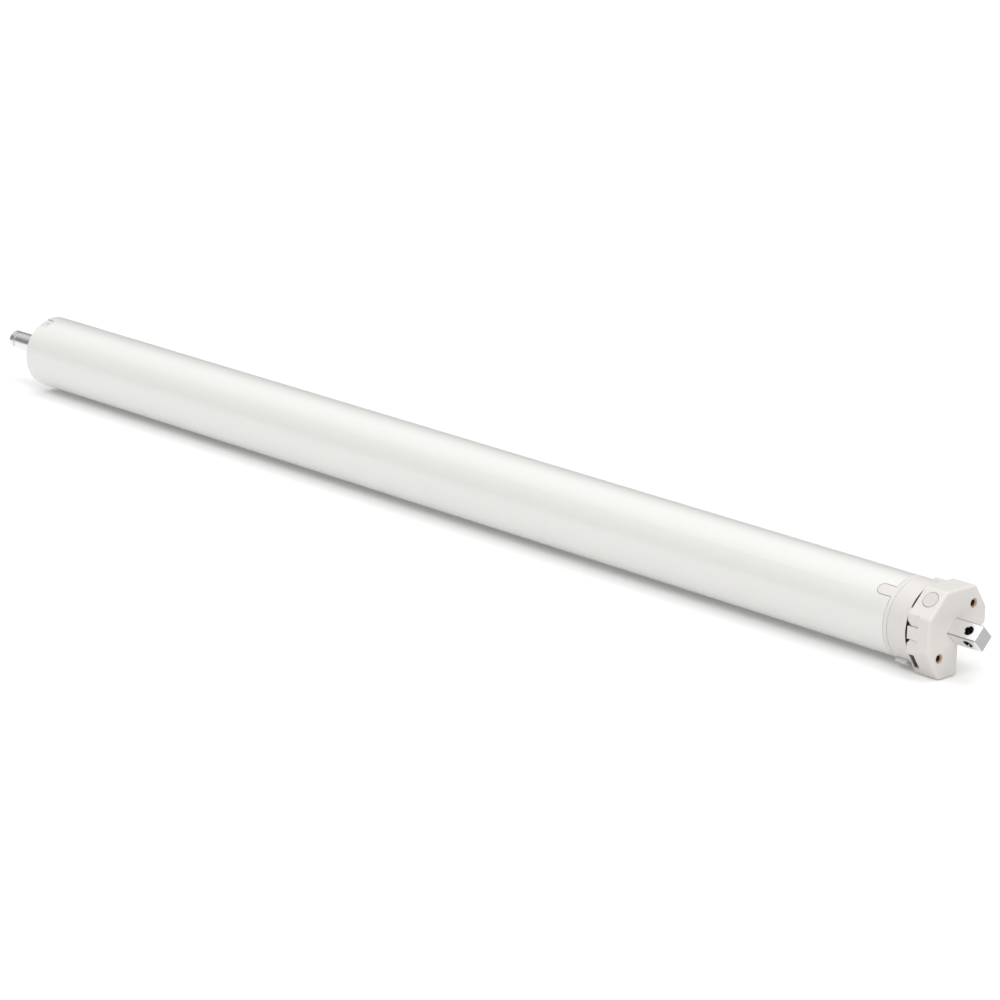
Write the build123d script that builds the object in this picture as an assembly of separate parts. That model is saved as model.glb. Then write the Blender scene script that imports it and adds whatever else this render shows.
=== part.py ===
from build123d import *
import os
from math import acos, cos, pi, radians, sin, sqrt, tan

# Roller shade motor with its battery inside the tube, in millimetres
# Origin: on the motor's axis, in the head's face, where the square pin leaves it
# +X runs outwards along the pin, +Z is up, and the tube lies towards -X

# Tube
TUBE_OD = 45.0
TUBE_WALL = 1.5
TUBE_LENGTH = 730.0
TUBE_EDGE = 0.5
NOTCH_ANGLE = 132.0
NOTCH_LENGTH = 10.7
LUG_WIDTH = 6.2
LUG_GAP = 0.4
CAP_NOTCH_ANGLE = 113.0
CAP_NOTCH_LENGTH = 9.0
CAP_LUG_WIDTH = 7.4
CAP_LUG_SUNK = 0.7
CAP_DIMPLE_R = 0.9
CAP_DIMPLE_DEPTH = 0.6

# Fits
SLIP = 0.05
RUNNING = 0.05
NECK_RUNNING = 0.1
SIDE_GAP = 0.3
SEAT_GAP = 0.2

# Head
HEAD_DEPTH = 15.5
HEAD_RIGHT = 23.8
HEAD_UPPER_RIGHT = 24.8
UPPER_RIGHT_ANGLE = 34.0
HEAD_TOP = 22.4
HEAD_BOTTOM = 25.0
BUTTON_FLAT = 22.0
TONGUE_FLAT = 21.9
PORT_FLAT = 23.5
HEAD_CORNER_R = 2.8
HEAD_EDGE_R = 1.8
CUT_Y = 2.7
CUT_Z = -1.2
CROWN_WALL = 3.6
COLLAR_WALL = 5.05
SPIGOT_LENGTH = 11.0
SPIGOT_WALL = 2.9
RELIEF_STEP = 0.3
WEB = 2.6
TONGUE_ANGLE = 180.0
TONGUE_WIDTH = 6.8
TONGUE_SUNK = 0.1
TONGUE_SLOT = 0.4
TONGUE_SLOT_DEPTH = 0.8
TONGUE_NOTCH = 2.7
TONGUE_NOTCH_DEPTH = 3.5
BAND_LENGTH = 7.8
BAND_SUNK = 0.9
REAR_SLOT = 0.6
REAR_SLOT_LENGTH = 14.4
REAR_SLOT_DEPTH = 4.0

# Crown and collar
CROWN_GAP = 0.3
CROWN_WIDTH = 12.7
CROWN_EDGE = 0.3
LIP_GAP = 0.2
LIP_WIDTH = 2.15
LIP_EDGE = 0.3
SEAM_GAP = 0.45
COLLAR_PLUG = 20.0
KEY_ANGLES = (50.0, 240.0)
KEY_WIDTH = 4.0
KEY_HEIGHT = 2.4
KEY_LENGTH = 7.4
KEY_ROUND = 0.8
KEY_GROOVE = 0.9
KEY_GROOVE_DEPTH = 1.4
SPIGOT_SCREW_ANGLES = (30.0, 150.0, 270.0)
SPIGOT_SCREW_R = 1.25
SPIGOT_SCREW_HEAD_R = 2.3
SPIGOT_SCREW_HEAD = 1.4

# Square pin and what holds it
PIN_SIDE = 10.4
PIN_OUT = 18.1
PIN_EDGE_R = 0.5
PIN_TIP = 0.4
CROSS_HOLE_R = 2.8
CROSS_HOLE_X = 11.3
FLANGE_SIDE = 14.0
FLANGE_T = 2.5
PLATE_T = 2.5
PLATE_ANGLES = (45.0, 135.0, 225.0)
PLATE_SCREW_INSET = 2.4
PLATE_SCREW_R = 1.2
PLATE_SCREW_HEAD_R = 2.0
PLATE_SCREW_HEAD = 1.6
PLATE_SCREW_GRIP = 4.0

# Threaded inserts in the face
INSERT_PITCH_R = 18.0
INSERT_ANGLES = (45.0, 225.0)
INSERT_R = 2.7
INSERT_BORE_R = 2.0
INSERT_LENGTH = 8.5
INSERT_SUNK = 0.5

# Push button and switch
BUTTON_ANGLE = 135.0
BUTTON_X = -7.4
BUTTON_OFFSET = 3.0
BUTTON_R = 4.4
BUTTON_CLEARANCE = 0.3
BUTTON_PROUD = 0.2
BUTTON_CAP = 2.6
BUTTON_TRAVEL = 0.6
STEM_R = 1.5
LEDGE_R = 15.9
LEDGE_T = 1.4
SWITCH_SIDE = 6.0
SWITCH_BASE_R = 10.6
SWITCH_HEIGHT = 3.4
PLUNGER_R = 1.2
PLUNGER_OUT = 1.2

# Charging port
PORT_ANGLE = 213.0
PORT_OFFSET = -4.5
PORT_X = -13.1
PORT_WINDOW = 10.4
PORT_WINDOW_X = 3.8
PORT_LEAD_ANGLE = 227.0
PORT_LENGTH = 6.5
PORT_WIDTH = 8.9
PORT_THICK = 2.5
PORT_WALL = 0.35
PORT_SUNK = 4.2
PORT_TONGUE = 0.7
LEAD_R = 0.8
CHANNEL_WIDTH = 4.0
CHANNEL_INSET = 0.9
CHANNEL_HEIGHT = 2.2

# Control board
BOARD_GAP = 6.0
BOARD_LENGTH = 148.0
BOARD_WIDTH = 36.0
BOARD_T = 1.6
BOARD_Z = -3.0
TRAY_WALL = 1.6
RAIL_WIDTH = 4.0
RAIL_HEIGHT = 5.0
BOARD_SCREW_R = 1.0
BOARD_SCREW_HEAD_R = 1.9
BOARD_SCREW_HEAD = 1.3
PLUG_INSET = 4.0
PLUG_LENGTH = 6.0
PLUG_HEIGHT = 5.0
PLUG_PITCH = 2.4
RADIO_FROM_START = 16.0
RADIO_LENGTH = 20.0
RADIO_WIDTH = 15.0
RADIO_HEIGHT = 2.6
RADIO_CORNER_R = 0.8
INDUCTOR_FROM_START = 48.0
INDUCTOR_SIDE = 12.0
INDUCTOR_HEIGHT = 5.0
INDUCTOR_CORNER_R = 2.0
CAPACITORS = 3
CAPACITOR_FROM_START = 76.0
CAPACITOR_R = 4.0
CAPACITOR_LENGTH = 16.0
CAPACITOR_GAP = 1.0
CHIP_PAIRS = 3
CHIP_FROM_START = 96.0
CHIP_PITCH = 9.0
CHIP_SPREAD = 14.0
CHIP_LENGTH = 6.0
CHIP_WIDTH = 5.0
CHIP_HEIGHT = 1.1

# Battery: two cells side by side, in as many rows as the tube has room for
CELL_MARGIN = 2.35
CELL_GAP = 0.8
CELL_LENGTH = 65.0
CELL_EDGE = 0.8
SPACER_WEB = 2.0
SPACER_LIP = 4.0
POCKET_GAP = 0.1
LINK_SIZE = 6.0
WIRE_R = 0.9
WIRE_SUNK = 4.0
WIRE_PITCH = 3.0
WIRES = 5
WIRE_HOLE_GAP = 0.2
WIRE_RISE = 11.0

# Motor
MOUNT_T = 2.95
CAN_WALL = 1.2
CAN_LENGTH = 62.0
CAN_FRONT = 4.0
STACK_LENGTH = 34.0
STACK_START = 13.0
YOKE_T = 2.2
TEETH = 6
TOOTH_WIDTH = 4.4
SHOE_WIDTH = 7.6
SHOE_T = 1.0
STATOR_DEPTH = 7.5
COIL_T = 1.4
AIR_GAP = 0.7
MAGNET_T = 2.2
MAGNETS = 4
MAGNET_GAP_DEG = 6.0
SHAFT_R = 2.5
SUN_BORE_R = 1.8
BEARING_R = 8.0
BEARING_WIDTH = 5.0
BELL_T = 7.0
HALL_T = 1.6
HALL_GAP = 1.5
MOUNT_WIDTH = 8.0
MOUNT_INSETS = (6.0, 44.0)
MOTOR_PLATE_T = 4.0
MOTOR_SCREW_INSET = 5.0
MOTOR_SCREW_R = 1.5
MOTOR_SCREW_HEAD_R = 2.6
MOTOR_SCREW_HEAD = 1.8
MOTOR_SCREWS = 4

# Planetary gears: sun 12, planet 18, ring 48, so each stage turns 5 to 1
RING_WALL = 3.415
PRESSURE = 25.0
SUN_TEETH = 12
PLANET_TEETH = 18
ADDENDUM = 0.8
DEDENDUM = 1.05
THINNING = 0.07
PLANETS = 3
PLANET_WIDTHS = (9.0, 12.0)
PLANET_PIN_R = 2.2
CARRIER_RIM = 2.3
CARRIER_T = 4.5
RING_SCREW_INSET = 1.75
RING_SCREW_R = 0.9
RING_SCREW_HEAD_R = 1.5
RING_SCREW_HEAD = 1.2
RING_SCREWS = 4
RING_SCREW_GRIP = 10.0

# Output end
CAP_LENGTH = 25.0
SHAFT_OD = 12.0
JOURNAL_OD = 13.0
JOURNAL_OUT = 1.0
SHAFT_OUT = 40.0
SHAFT_FLAT = 1.0
SHAFT_FLAT_LENGTH = 20.0
SHAFT_FLAT_ANGLE = 240.0
SHAFT_TIP = 1.0
GROOVE_FROM_TIP = 5.0
GROOVE_WIDTH = 1.1
GROOVE_DEPTH = 0.5
BUSH_R = 9.0
BUSH_LENGTH = 8.0
SEAL_T = 3.0
CAP_INNER_BUSH = 6.0

# Worked out from the sizes above
TUBE_R = TUBE_OD / 2
TUBE_IN_R = TUBE_R - TUBE_WALL
FIT_R = TUBE_IN_R - SLIP
NECK_R = TUBE_R - CROWN_WALL
SPIGOT_R = FIT_R - COLLAR_WALL
CAVITY_R = SPIGOT_R - SPIGOT_WALL
RELIEF_R = SPIGOT_R - RELIEF_STEP
CHANNEL_R = SPIGOT_R - CHANNEL_INSET
PLATE_SCREW_PITCH_R = CAVITY_R - PLATE_SCREW_INSET
CELL_R = (FIT_R - CELL_MARGIN - CELL_GAP / 2) / 2
CELL_PITCH_Y = 2 * CELL_R + CELL_GAP
CAN_R = FIT_R - MOUNT_T
BORE_R = CAN_R - STATOR_DEPTH
MAGNET_R = BORE_R - AIR_GAP
MOTOR_SCREW_PITCH_R = CAN_R - MOTOR_SCREW_INSET
WIRE_Z = CAN_R - WIRE_SUNK
RING_TEETH = SUN_TEETH + 2 * PLANET_TEETH
MODULE = (FIT_R - RING_WALL) / (RING_TEETH / 2 + DEDENDUM)
CENTRE_R = MODULE * (SUN_TEETH + PLANET_TEETH) / 2
CARRIER_R = CENTRE_R + PLANET_PIN_R + CARRIER_RIM
RING_SCREW_PITCH_R = FIT_R - RING_SCREW_INSET
CROWN_FRONT = -HEAD_DEPTH - CROWN_GAP
CROWN_BACK = CROWN_FRONT - CROWN_WIDTH
LIP_FRONT = CROWN_BACK - LIP_GAP
SEAM = LIP_FRONT - LIP_WIDTH - SEAM_GAP
TUBE_END = SEAM - TUBE_LENGTH
COLLAR_END = SEAM - COLLAR_PLUG
WEB_BACK = -HEAD_DEPTH - WEB
FLANGE_BACK = WEB_BACK - FLANGE_T
PLATE_BACK = FLANGE_BACK - PLATE_T
SPIGOT_END = LIP_FRONT - SPIGOT_LENGTH
CAP_IN = TUBE_END + CAP_LENGTH
STAGE_2_END = CAP_IN + SIDE_GAP + CARRIER_T + SIDE_GAP + PLANET_WIDTHS[1]
CARRIER_1_BACK = STAGE_2_END + SIDE_GAP
CARRIER_1_FRONT = CARRIER_1_BACK + CARRIER_T
STAGE_1_END = CARRIER_1_FRONT + SIDE_GAP + PLANET_WIDTHS[0]
PLATE_FACE = STAGE_1_END + SIDE_GAP
CAN_BACK = PLATE_FACE + MOTOR_PLATE_T
CAN_END = CAN_BACK + CAN_LENGTH
BOARD_START = COLLAR_END - BOARD_GAP
BOARD_END = BOARD_START - BOARD_LENGTH
ROW_PITCH = CELL_LENGTH + SPACER_WEB
CELL_ROWS = int((BOARD_END - CAN_END - SPACER_WEB) // ROW_PITCH)
PACK_LENGTH = CELL_ROWS * ROW_PITCH + SPACER_WEB
PACK_START = (BOARD_END + CAN_END + PACK_LENGTH) / 2
SHAFT_TIP_X = TUBE_END - SHAFT_OUT
STACK_FROM = CAN_BACK + STACK_START
STACK_TO = STACK_FROM + STACK_LENGTH
HALL_FACE = STACK_TO + SIDE_GAP + COIL_T + HALL_GAP + HALL_T
HEAD_SIDES = ((0.0, HEAD_RIGHT), (UPPER_RIGHT_ANGLE, HEAD_UPPER_RIGHT), (90.0, HEAD_TOP),
              (BUTTON_ANGLE, BUTTON_FLAT), (TONGUE_ANGLE, TONGUE_FLAT), (PORT_ANGLE, PORT_FLAT),
              (270.0, HEAD_BOTTOM))
HEAD_REACH = max(distance for angle, distance in HEAD_SIDES)


def across(x):
    """The plane square to the axis at x, with its own x along +Y and its y along +Z."""
    return Plane(origin=(x, 0, 0), x_dir=(0, 1, 0), z_dir=(1, 0, 0))


def prism(x0, x1, outline):
    return across(x0) * extrude(outline, x1 - x0)


def rod(x0, x1, r):
    return prism(x0, x1, Circle(r))


def ring(x0, x1, outer, inner):
    return prism(x0, x1, Circle(outer) - Circle(inner))


def block(x0, x1, y0, y1, z0, z1):
    size = (x1 - x0, y1 - y0, z1 - z0)
    return Pos((x0 + x1) / 2, (y0 + y1) / 2, (z0 + z1) / 2) * Box(*size)


def turned(shape, angle):
    """A shape made at the top (+Z), turned about the axis to an angle counted from +Y."""
    return Rot(X=angle - 90) * shape


def spoke(x, angle, r0, r1, r):
    """A round pin that points outwards at x, from radius r0 to r1."""
    upright = Pos(x, 0, r0) * Cylinder(r, r1 - r0, align=(Align.CENTER, Align.CENTER, Align.MIN))
    return turned(upright, angle)


def offset_rods(x0, x1, pitch_r, angles, r):
    places = [(pitch_r * cos(radians(a)), pitch_r * sin(radians(a))) for a in angles]
    return [prism(x0, x1, Pos(*place) * Circle(r)) for place in places]


def tongue(x_open, x_tip, width, r0, r1, angle):
    """A flat tongue with a round tip that runs from x_open to x_tip, between two radii."""
    half = width / 2
    toward = 1 if x_tip > x_open else -1
    centre = x_tip - toward * half
    strip = block(min(x_open, centre), max(x_open, centre), -half, half, r0 - 1, r1 + 1)
    tip = Pos(centre, 0, r0 - 1) * Cylinder(half, r1 - r0 + 2, align=(Align.CENTER, Align.CENTER, Align.MIN))
    low = min(x_open, x_tip)
    high = max(x_open, x_tip)
    return turned(strip + tip, angle) & ring(low, high, r1, r0)


def even_angles(count, first=0.0):
    return [first + 360.0 * k / count for k in range(count)]


def housing_tube():
    shell = ring(TUBE_END, SEAM, TUBE_R, TUBE_IN_R)
    rims = [e for e in shell.edges().filter_by(GeomType.CIRCLE) if e.radius > TUBE_IN_R + SLIP]
    shell = fillet(rims, TUBE_EDGE)
    width = LUG_WIDTH + 2 * LUG_GAP
    shell -= tongue(SEAM + 1, SEAM - NOTCH_LENGTH, width, TUBE_IN_R - 1, TUBE_R + 1, NOTCH_ANGLE)
    cap_width = CAP_LUG_WIDTH + 2 * LUG_GAP
    reach = TUBE_END + CAP_NOTCH_LENGTH
    shell -= tongue(TUBE_END - 1, reach, cap_width, TUBE_IN_R - 1, TUBE_R + 1, CAP_NOTCH_ANGLE)
    return shell


def spigot_screw_places():
    return [(SPIGOT_END + SPIGOT_LENGTH / 2, angle) for angle in SPIGOT_SCREW_ANGLES]


def collar():
    body = ring(COLLAR_END, SEAM + SEAM_GAP, FIT_R, SPIGOT_R + SLIP)
    body += ring(SEAM + SEAM_GAP, LIP_FRONT, TUBE_R, SPIGOT_R + SLIP)
    rims = [e for e in body.edges().filter_by(GeomType.CIRCLE) if e.radius > FIT_R + SLIP]
    body = chamfer(ShapeList(rims).sort_by(Axis.X)[-1], LIP_EDGE)
    lug_tip = SEAM - NOTCH_LENGTH + LUG_GAP
    body += tongue(LIP_FRONT - LIP_WIDTH / 2, lug_tip, LUG_WIDTH, FIT_R - 1, TUBE_R, NOTCH_ANGLE)
    for x, angle in spigot_screw_places():
        body -= spoke(x, angle, SPIGOT_R - 1, TUBE_R, SPIGOT_SCREW_R + SLIP)
        body -= spoke(x, angle, FIT_R - SIDE_GAP - SPIGOT_SCREW_HEAD, TUBE_R, SPIGOT_SCREW_HEAD_R + SLIP)
    return body


def spigot_screws():
    screws = []
    for x, angle in spigot_screw_places():
        seat = FIT_R - SIDE_GAP - SPIGOT_SCREW_HEAD
        head = spoke(x, angle, seat, FIT_R - SIDE_GAP, SPIGOT_SCREW_HEAD_R)
        screws.append(head + spoke(x, angle, CAVITY_R, seat, SPIGOT_SCREW_R))
    return screws


def crown():
    band = ring(CROWN_BACK, CROWN_FRONT, TUBE_R, NECK_R + NECK_RUNNING)
    front = [e for e in band.edges().filter_by(GeomType.CIRCLE) if e.radius > NECK_R + 1]
    band = chamfer(front, CROWN_EDGE)
    for angle in KEY_ANGLES:
        top = TUBE_R + KEY_HEIGHT
        half = KEY_WIDTH / 2
        rib = block(CROWN_BACK, CROWN_BACK + KEY_LENGTH, -half, half, NECK_R + 1, top)
        crest = rib.faces().sort_by(Axis.Z)[-1]
        rib = fillet(crest.edges(), KEY_ROUND)
        for side in (-1, 1):
            edge = side * (half + KEY_GROOVE / 2)
            groove = block(CROWN_BACK - 1, CROWN_BACK + KEY_LENGTH + KEY_GROOVE, edge - KEY_GROOVE / 2,
                           edge + KEY_GROOVE / 2, TUBE_R - KEY_GROOVE_DEPTH, top)
            band -= turned(groove, angle)
        band += turned(rib, angle)
    return band


def corner_of(side, other):
    """Where two flat sides of the head meet, each given by its angle and its distance."""
    (a, da), (b, db) = side, other
    a, b = radians(a), radians(b)
    turn = sin(b - a)
    return (da * sin(b) - db * sin(a)) / turn, (db * cos(a) - da * cos(b)) / turn


def head_outline():
    following = HEAD_SIDES[1:] + HEAD_SIDES[:1]
    corners = [corner_of(side, other) for side, other in zip(HEAD_SIDES, following)]
    outline = make_face(Polyline(*corners, close=True))
    cut = 2 * HEAD_REACH
    outline -= Pos(CUT_Y, CUT_Z) * Rectangle(cut, cut, align=(Align.MIN, Align.MAX))
    outer = [v for v in outline.vertices() if Vector(v.X, v.Y).length > HEAD_REACH / 2]
    return fillet(outer, HEAD_CORNER_R)


def facet_place(angle, x, along):
    """Axes on a facet: +Z points outwards, and along is counted towards smaller angles."""
    return Rot(X=angle - 90) * Pos(x, along, 0)


def button_round(r0, r1, r):
    """A disc or rod on the button's axis, between two distances from the motor's axis."""
    body = Pos(0, 0, r0) * Cylinder(r, r1 - r0, align=(Align.CENTER, Align.CENTER, Align.MIN))
    return facet_place(BUTTON_ANGLE, BUTTON_X, BUTTON_OFFSET) * body


def button_box(side, r0, r1):
    body = Pos(0, 0, r0) * Box(side, side, r1 - r0, align=(Align.CENTER, Align.CENTER, Align.MIN))
    return facet_place(BUTTON_ANGLE, BUTTON_X, BUTTON_OFFSET) * body


def port_box(x0, x1, width, r0, r1):
    half = width / 2
    return facet_place(PORT_ANGLE, 0, PORT_OFFSET) * block(x0, x1, -half, half, r0, r1)


PORT_MOUTH_R = PORT_FLAT - PORT_SUNK
PORT_FOOT_R = PORT_MOUTH_R - PORT_LENGTH


def lead_routes():
    """The leads of the switch and of the port: at what angle they lie and where they start."""
    at_switch = BUTTON_X - SWITCH_SIDE / 2 - SLIP
    at_port = PORT_X - PORT_THICK / 2 - SLIP
    return [(BUTTON_ANGLE, at_switch), (PORT_LEAD_ANGLE, at_port)]


def wire(points, r):
    """A round wire that bends at the points it is led through."""
    body = None
    for start, end in zip(points, points[1:]):
        run = Vector(*end) - Vector(*start)
        straight = Plane(origin=start, z_dir=run) * Cylinder(
            r, run.length, align=(Align.CENTER, Align.CENTER, Align.MIN))
        body = straight if body is None else body + straight
    for bend in points[1:-1]:
        body += Pos(*bend) * Sphere(r)
    return body


def rear_slot():
    """The gap that shows between the crown and the flat with the button."""
    reach = REAR_SLOT_LENGTH / 2
    back = -HEAD_DEPTH
    gap = block(back - 1, back + REAR_SLOT, -reach, reach, BUTTON_FLAT - REAR_SLOT_DEPTH, HEAD_REACH + 3)
    return facet_place(BUTTON_ANGLE, 0, BUTTON_OFFSET) * gap


def tongue_relief():
    """What is cut from the flat's rear band to leave the tongue, made at the top."""
    half = TONGUE_WIDTH / 2
    back = -HEAD_DEPTH
    front = back + BAND_LENGTH
    floor = TONGUE_FLAT - BAND_SUNK
    pocket = TONGUE_FLAT - TONGUE_NOTCH_DEPTH
    relief = block(back - 1, front, -half, half, TONGUE_FLAT - TONGUE_SUNK, HEAD_REACH)
    relief += block(back - 1, back + REAR_SLOT, -half, half, pocket, HEAD_REACH)
    for side in (-1, 1):
        near, far = sorted((side * half, side * HEAD_REACH))
        relief += block(back - 1, front, near, far, floor, HEAD_REACH)
        near, far = sorted((side * half, side * (half + TONGUE_SLOT)))
        relief += block(back - 1, front, near, far, floor - TONGUE_SLOT_DEPTH, HEAD_REACH)
        edge = side * half
        corners = [(back, edge), (back, edge + side * TONGUE_NOTCH), (back + TONGUE_NOTCH, edge)]
        wedge = extrude(make_face(Polyline(*corners, close=True)), HEAD_REACH, dir=(0, 0, 1))
        relief += wedge & block(back - 1, front, -HEAD_REACH, HEAD_REACH, pocket, HEAD_REACH)
    return relief


def head_body():
    body = prism(-HEAD_DEPTH, 0, head_outline())
    face = body.faces().sort_by(Axis.X)[-1]
    body = fillet(face.edges(), HEAD_EDGE_R)
    body -= turned(tongue_relief(), TONGUE_ANGLE)
    body += rod(LIP_FRONT, CROWN_FRONT, NECK_R) + rod(CROWN_FRONT, -HEAD_DEPTH, RELIEF_R)
    body += rod(SPIGOT_END, LIP_FRONT, SPIGOT_R)
    body -= rod(SPIGOT_END, WEB_BACK, CAVITY_R)
    side = PIN_SIDE + 2 * SLIP
    body -= prism(WEB_BACK - 1, 1, Rectangle(side, side, rotation=45))
    grip_end = WEB_BACK + PLATE_SCREW_GRIP
    for sink in offset_rods(WEB_BACK, grip_end, PLATE_SCREW_PITCH_R, PLATE_ANGLES, PLATE_SCREW_R):
        body -= sink
    for seat in offset_rods(-INSERT_LENGTH - INSERT_SUNK - 1, 0, INSERT_PITCH_R, INSERT_ANGLES, INSERT_R):
        body -= seat
    body -= button_round(LEDGE_R + LEDGE_T, HEAD_REACH, BUTTON_R + BUTTON_CLEARANCE)
    body -= rear_slot()
    body -= button_round(LEDGE_R - 1, LEDGE_R + LEDGE_T + 1, STEM_R + RUNNING)
    body -= button_box(SWITCH_SIDE + 2 * SEAT_GAP, SWITCH_BASE_R - SEAT_GAP, LEDGE_R)
    half = PORT_WINDOW_X / 2
    body -= port_box(PORT_X - half, PORT_X + half, PORT_WINDOW, PORT_MOUTH_R, HEAD_REACH + 3)
    snug = PORT_THICK / 2 + SLIP
    body -= port_box(PORT_X - snug, PORT_X + snug, PORT_WIDTH + 2 * SLIP, PORT_FOOT_R - SLIP, PORT_FLAT)
    for angle, x_start in lead_routes():
        half = CHANNEL_WIDTH / 2
        lead_way = block(SPIGOT_END, x_start + SLIP, -half, half, CHANNEL_R - CHANNEL_HEIGHT, CHANNEL_R)
        body -= turned(lead_way, angle)
    for x, angle in spigot_screw_places():
        body -= spoke(x, angle, CAVITY_R - 1, TUBE_R, SPIGOT_SCREW_R)
    return body


def head_leads():
    """Each pair of leads runs in its channel through the spigot and down to the board's plug."""
    leads = []
    r = CHANNEL_R - CHANNEL_HEIGHT / 2
    plug_z = BOARD_Z + BOARD_T / 2 + PLUG_HEIGHT / 2
    spots = [-3, -1, 1, 3]
    for k, (angle, x_start) in enumerate(lead_routes()):
        for j, side in enumerate((-1, 1)):
            turn = radians(angle)
            shift = side * (LEAD_R + SLIP)
            y = r * cos(turn) - shift * sin(turn)
            z = r * sin(turn) + shift * cos(turn)
            plug_y = spots[2 * k + j] * PLUG_PITCH / 2
            in_spigot = [(x_start, y, z), (BOARD_START + BOARD_GAP - 1, y, z)]
            at_plug = [(BOARD_START + 1, plug_y, plug_z), (BOARD_START - PLUG_INSET, plug_y, plug_z)]
            leads.append(wire(in_spigot + at_plug, LEAD_R))
    return leads


def square_pin():
    bar = prism(WEB_BACK, PIN_OUT, Rectangle(PIN_SIDE, PIN_SIDE, rotation=45))
    long_edges = bar.edges().filter_by(Axis.X)
    bar = fillet(long_edges, PIN_EDGE_R)
    tip = bar.faces().sort_by(Axis.X)[-1]
    bar = chamfer(tip.edges(), PIN_TIP)
    bar += prism(FLANGE_BACK, WEB_BACK, Rectangle(FLANGE_SIDE, FLANGE_SIDE, rotation=45))
    for angle in (45.0, 135.0):
        bar -= spoke(CROSS_HOLE_X, angle, -PIN_SIDE, PIN_SIDE, CROSS_HOLE_R)
    return bar


def pin_retainer_plate():
    plate = rod(PLATE_BACK, FLANGE_BACK, CAVITY_R - SLIP)
    hole_r = PLATE_SCREW_R + SLIP
    for hole in offset_rods(PLATE_BACK, FLANGE_BACK, PLATE_SCREW_PITCH_R, PLATE_ANGLES, hole_r):
        plate -= hole
    return plate


def retainer_screws():
    tip = WEB_BACK + PLATE_SCREW_GRIP
    shanks = offset_rods(PLATE_BACK, tip, PLATE_SCREW_PITCH_R, PLATE_ANGLES, PLATE_SCREW_R)
    back = PLATE_BACK - PLATE_SCREW_HEAD
    heads = offset_rods(back, PLATE_BACK, PLATE_SCREW_PITCH_R, PLATE_ANGLES, PLATE_SCREW_HEAD_R)
    return [shank + head for shank, head in zip(shanks, heads)]


def face_inserts():
    x0 = -INSERT_LENGTH - INSERT_SUNK
    outer = offset_rods(x0, -INSERT_SUNK, INSERT_PITCH_R, INSERT_ANGLES, INSERT_R)
    inner = offset_rods(x0, 0, INSERT_PITCH_R, INSERT_ANGLES, INSERT_BORE_R)
    return [a - b for a, b in zip(outer, inner)]


SWITCH_TOP_R = SWITCH_BASE_R + SWITCH_HEIGHT


def push_button():
    top = BUTTON_FLAT + BUTTON_PROUD
    cap = button_round(top - BUTTON_CAP, top, BUTTON_R)
    rim = cap.edges().filter_by(GeomType.CIRCLE).sort_by(SortBy.DISTANCE)[-1]
    cap = fillet(rim, BUTTON_PROUD)
    return cap + button_round(SWITCH_TOP_R + PLUNGER_OUT, top - BUTTON_CAP, STEM_R)


def switch_plunger():
    foot = SWITCH_TOP_R - PLUNGER_OUT
    return button_round(foot, SWITCH_TOP_R + PLUNGER_OUT, PLUNGER_R)


def tact_switch():
    body = button_box(SWITCH_SIDE, SWITCH_BASE_R, SWITCH_TOP_R)
    well = SWITCH_TOP_R - PLUNGER_OUT - BUTTON_TRAVEL - SIDE_GAP
    return body - button_round(well, SWITCH_TOP_R + 1, PLUNGER_R + RUNNING)


def charge_port():
    half = PORT_THICK / 2
    shell = port_box(PORT_X - half, PORT_X + half, PORT_WIDTH, PORT_FOOT_R, PORT_MOUTH_R)
    inner = half - PORT_WALL
    mouth = port_box(PORT_X - inner, PORT_X + inner, PORT_WIDTH - 2 * PORT_WALL,
                     PORT_FOOT_R + 1, PORT_MOUTH_R + 1)
    blade = PORT_TONGUE / 2
    contact = port_box(PORT_X - blade, PORT_X + blade, PORT_WIDTH - 2, PORT_FOOT_R, PORT_MOUTH_R - 1)
    return shell - mouth + contact


def board_tray():
    floor_z = BOARD_Z - BOARD_T / 2
    shell = ring(BOARD_END, BOARD_START, FIT_R, FIT_R - TRAY_WALL)
    shell &= block(BOARD_END, BOARD_START, -FIT_R, FIT_R, -FIT_R, floor_z)
    reach = FIT_R - SLIP
    inner = BOARD_WIDTH / 2 - RAIL_WIDTH
    rails = rod(BOARD_END, BOARD_START, reach)
    rails &= block(BOARD_END, BOARD_START, -FIT_R, FIT_R, floor_z - RAIL_HEIGHT, floor_z)
    rails -= block(BOARD_END - 1, BOARD_START + 1, -inner, inner, -FIT_R, 0)
    tray = shell + rails
    for x, y in board_screw_places():
        tray -= Pos(x, y, floor_z) * Cylinder(BOARD_SCREW_R, 2 * RAIL_HEIGHT - 2)
    return tray


def board_screw_places():
    y = BOARD_WIDTH / 2 - RAIL_WIDTH / 2
    inset = 2 * RAIL_WIDTH
    return [(x, s * y) for x in (BOARD_START - inset, BOARD_END + inset) for s in (-1, 1)]


def control_board():
    half = BOARD_WIDTH / 2
    board = block(BOARD_END, BOARD_START, -half, half, BOARD_Z - BOARD_T / 2, BOARD_Z + BOARD_T / 2)
    for x, y in board_screw_places():
        board -= Pos(x, y, BOARD_Z) * Cylinder(BOARD_SCREW_R + SLIP, BOARD_T + 1)
    return board


def board_screws():
    screws = []
    top = BOARD_Z + BOARD_T / 2
    grip = RAIL_HEIGHT - 1
    for x, y in board_screw_places():
        low = BOARD_Z - BOARD_T / 2 - grip + SIDE_GAP
        shank = Pos(x, y, (low + top) / 2) * Cylinder(BOARD_SCREW_R, top - low)
        head = Pos(x, y, top + BOARD_SCREW_HEAD / 2) * Cylinder(BOARD_SCREW_HEAD_R, BOARD_SCREW_HEAD)
        screws.append(shank + head)
    return screws


def on_board(from_start, y, length, width, height):
    """A box-shaped component that stands on the board."""
    x1 = BOARD_START - from_start
    top = BOARD_Z + BOARD_T / 2
    return block(x1 - length, x1, y - width / 2, y + width / 2, top, top + height)


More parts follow.
